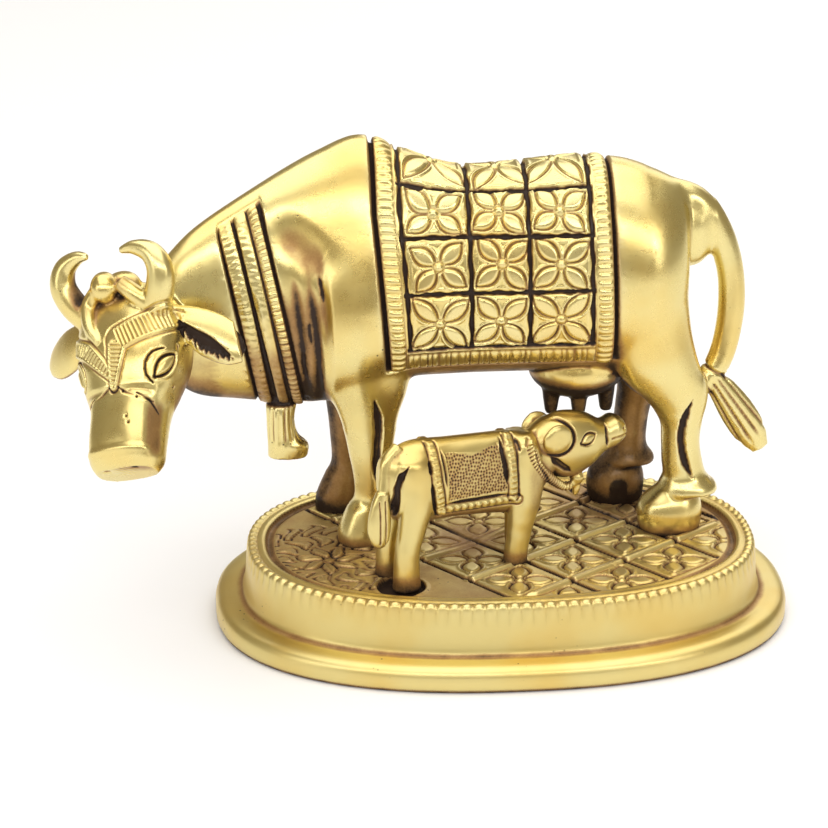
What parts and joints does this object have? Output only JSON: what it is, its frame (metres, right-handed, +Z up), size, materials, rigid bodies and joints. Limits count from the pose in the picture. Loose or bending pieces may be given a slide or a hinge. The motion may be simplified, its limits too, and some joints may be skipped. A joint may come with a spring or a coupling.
{
  "type": "cow and calf statue",
  "caption": "Cast brass cow with a suckling calf on a stepped oval plinth, with a tiled blanket, neck straps and engraved floor.",
  "frame": {"origin": "middle of the plinth's flat underside", "axes": "+Z up; X along the oval's long axis with the cow facing -X; -Y is the side the calf stands on"},
  "size_m": [0.1397, 0.0774, 0.0921],
  "materials": {
    "brass": "polished cast yellow brass with dark brown patina left in the recesses"
  },
  "bodies": {
    "root": {"plinth": "brass", "cow": "brass", "calf": "brass"}
  },
  "joints": []
}
